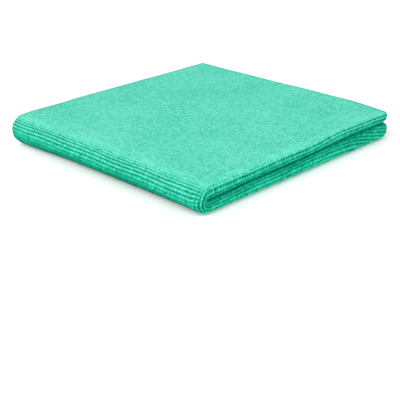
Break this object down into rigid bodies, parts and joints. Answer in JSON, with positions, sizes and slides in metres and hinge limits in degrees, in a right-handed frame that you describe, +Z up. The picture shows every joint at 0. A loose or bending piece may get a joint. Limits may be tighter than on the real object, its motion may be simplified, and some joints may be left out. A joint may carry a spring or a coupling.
{
  "type": "folded microfibre cloth",
  "caption": "Square microfibre cleaning cloth folded in half twice into a flat pad, with knitted ribs opening up along its rounded folds.",
  "frame": {"origin": "on the surface the pad lies on, under the middle of the folded pad", "axes": "+Z up; the second, outer fold faces -Y and runs along X; the first fold faces +X and runs along Y; the free edges lie at -X and +Y"},
  "size_m": [0.1516, 0.1554, 0.0182],
  "materials": {
    "cloth": "matte mint-green looped knit, fine speckled pile with ribs along the folds"
  },
  "bodies": {
    "root": {"cloth": "cloth"}
  },
  "joints": []
}
